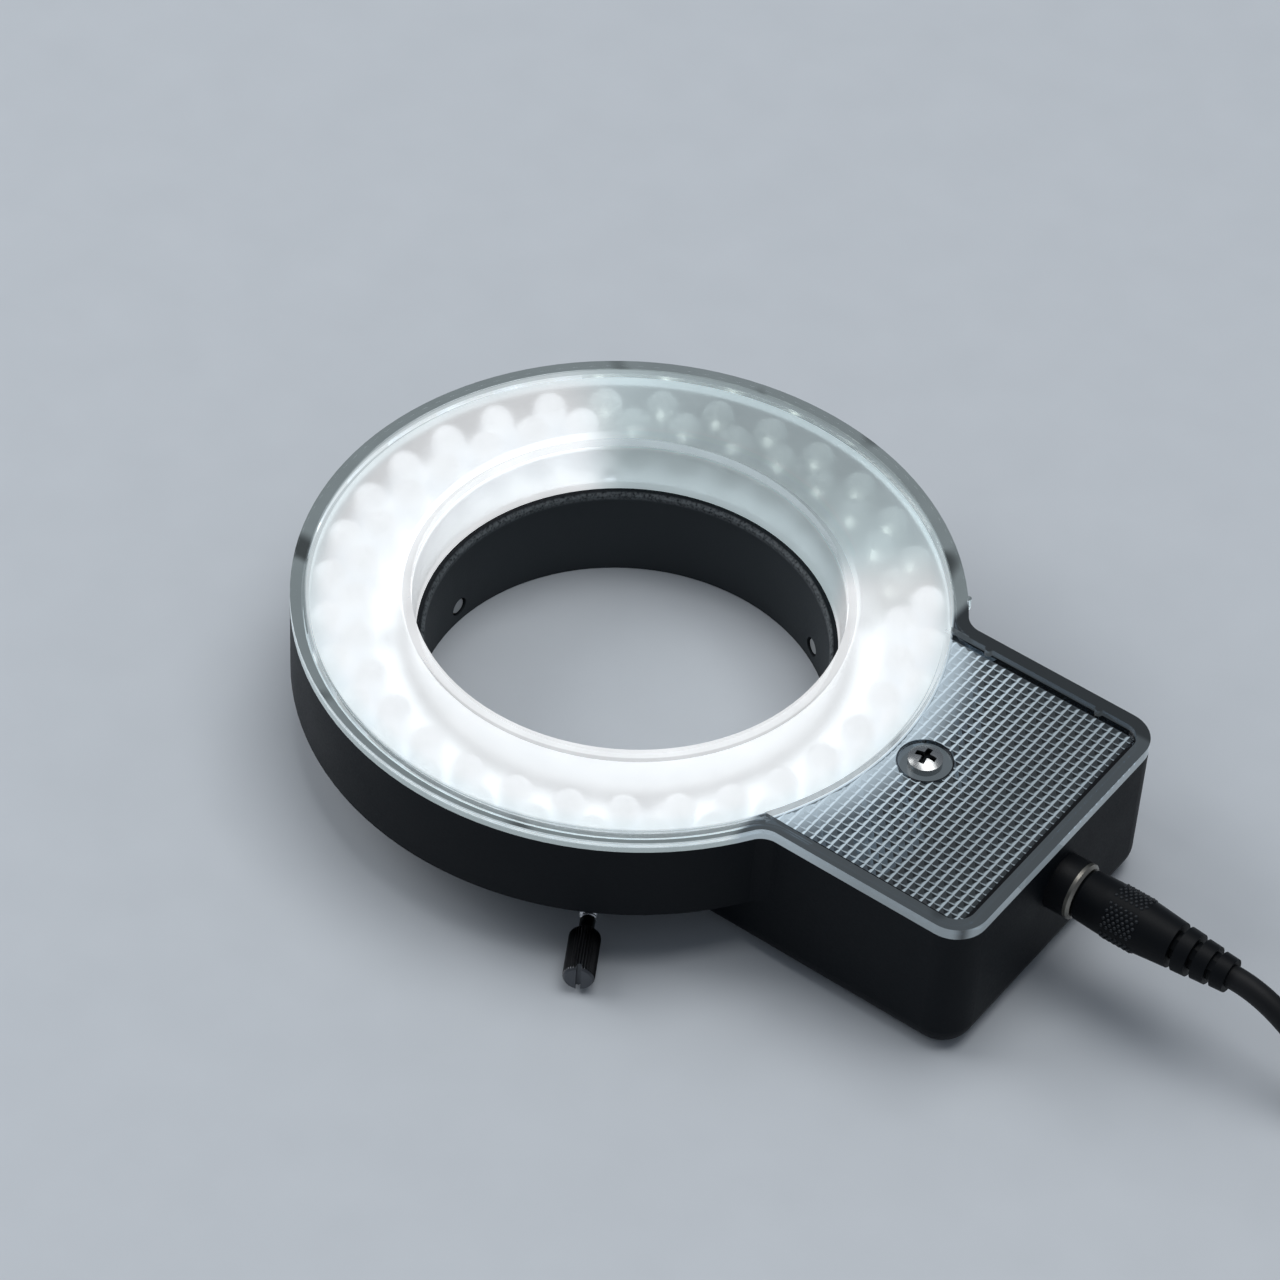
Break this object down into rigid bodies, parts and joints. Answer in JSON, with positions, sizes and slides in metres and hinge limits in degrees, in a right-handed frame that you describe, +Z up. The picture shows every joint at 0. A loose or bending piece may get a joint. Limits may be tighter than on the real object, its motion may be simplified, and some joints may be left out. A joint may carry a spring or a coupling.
{
  "type": "microscope ring light",
  "caption": "Ring light for a microscope: lamps under a clear cover, a clamping collar with thumbscrews, a control box with dimmer and selector, and a corded plug-in supply.",
  "frame": {"origin": "on the bore's axis, in the plane of the collar's free face, which rests on the table", "axes": "+Z up along the bore towards the lamps, +X from the ring to the end of the control box"},
  "size_m": [0.3132, 0.1064, 0.026],
  "materials": {
    "black_plastic": "fine moulded grain",
    "clear_plastic": "clear, moulded",
    "steel": "zinc plated",
    "white_board": "white solder mask",
    "lamp_lit": "clear resin, switched on",
    "lamp_off": "clear resin, switched off",
    "brass": "turned",
    "black_metal": "blackened",
    "nylon": "moulded",
    "green_board": "solder mask",
    "capacitor_sleeve": "shrunk sleeve",
    "chip_body": "moulded",
    "ferrite": "sintered",
    "dimmer_body": "moulded",
    "knob_plastic": "moulded",
    "button_plastic": "moulded",
    "socket_plastic": "moulded",
    "nickel": "nickel plated",
    "plug_plastic": "soft moulded",
    "red_wire": "insulation",
    "black_wire": "insulation",
    "cord_jacket": "soft jacket",
    "tie_plastic": "moulded",
    "adapter_plastic": "moulded grain"
  },
  "bodies": {
    "base": {"housing": "black_plastic", "clear_cover": "clear_plastic", "cover_screw": "steel", "lamp_board": "white_board", "lamp_board_screws": "steel", "lamps_box_quarter": "lamp_lit", "lamps_far_quarter": "lamp_off", "lamps_back_quarter": "lamp_lit", "lamps_near_quarter": "lamp_lit", "collar_inserts": "brass", "driver_board": "green_board", "driver_board_screws": "steel", "capacitors": "capacitor_sleeve", "chips": "chip_body", "choke": "ferrite", "control_board": "green_board", "dimmer_case": "dimmer_body", "selector_switch": "chip_body", "socket_case": "socket_plastic", "socket_ring": "nickel", "socket_pin": "nickel", "plug_grip": "plug_plastic", "plug_sleeve": "nickel", "wires_red": "red_wire", "wires_black": "black_wire", "cord_lead": "cord_jacket", "cord_coil": "cord_jacket", "cord_tail": "cord_jacket", "cord_tie": "tie_plastic", "adapter_relief": "cord_jacket", "adapter_case": "adapter_plastic", "adapter_pins": "nickel"},
    "pad_back": {"screw_pad_back": "nylon"},
    "screw_back": {"thumbscrew_back": "black_metal"},
    "pad_far": {"screw_pad_far": "nylon"},
    "screw_far": {"thumbscrew_far": "black_metal"},
    "pad_near": {"screw_pad_near": "nylon"},
    "screw_near": {"thumbscrew_near": "black_metal"},
    "dimmer": {"dimmer_shaft": "steel", "dimmer_knob": "knob_plastic"},
    "button": {"selector_button": "button_plastic"}
  },
  "joints": [
    {"name": "thumbscrew_back_travel", "type": "slide", "parent": "base", "child": "pad_back", "axis": [1, 0, 0], "range_m": [-0.002, 0.0085]},
    {"name": "thumbscrew_back_turn", "type": "hinge", "parent": "pad_back", "child": "screw_back", "pos_m": [-0.0454, 0, 0.0029], "axis": [1, 0, 0], "range_deg": [-1450, 6131]},
    {"name": "thumbscrew_far_travel", "type": "slide", "parent": "base", "child": "pad_far", "axis": [-0.5, -0.866, 0], "range_m": [-0.002, 0.0085]},
    {"name": "thumbscrew_far_turn", "type": "hinge", "parent": "pad_far", "child": "screw_far", "pos_m": [0.0227, 0.03932, 0.0029], "axis": [-0.5, -0.866, 0], "range_deg": [-1450, 6131]},
    {"name": "thumbscrew_near_travel", "type": "slide", "parent": "base", "child": "pad_near", "axis": [-0.5, 0.866, 0], "range_m": [-0.002, 0.0085]},
    {"name": "thumbscrew_near_turn", "type": "hinge", "parent": "pad_near", "child": "screw_near", "pos_m": [0.0227, -0.03932, 0.0029], "axis": [-0.5, 0.866, 0], "range_deg": [-1450, 6131]},
    {"name": "dimmer_turn", "type": "hinge", "parent": "base", "child": "dimmer", "pos_m": [0.0625, 0.0255, 0.012], "axis": [0, 1, 0], "range_deg": [-150, 150]},
    {"name": "selector_press", "type": "slide", "parent": "base", "child": "button", "axis": [0, -1, 0], "range_m": [0, 0.001], "stiffness_N_per_m": 1500}
  ],
  "couplings": [
    {"joint": "thumbscrew_back_turn", "follows": "thumbscrew_back_travel", "rad_per_m": 12566},
    {"joint": "thumbscrew_far_turn", "follows": "thumbscrew_far_travel", "rad_per_m": 12566},
    {"joint": "thumbscrew_near_turn", "follows": "thumbscrew_near_travel", "rad_per_m": 12566}
  ]
}
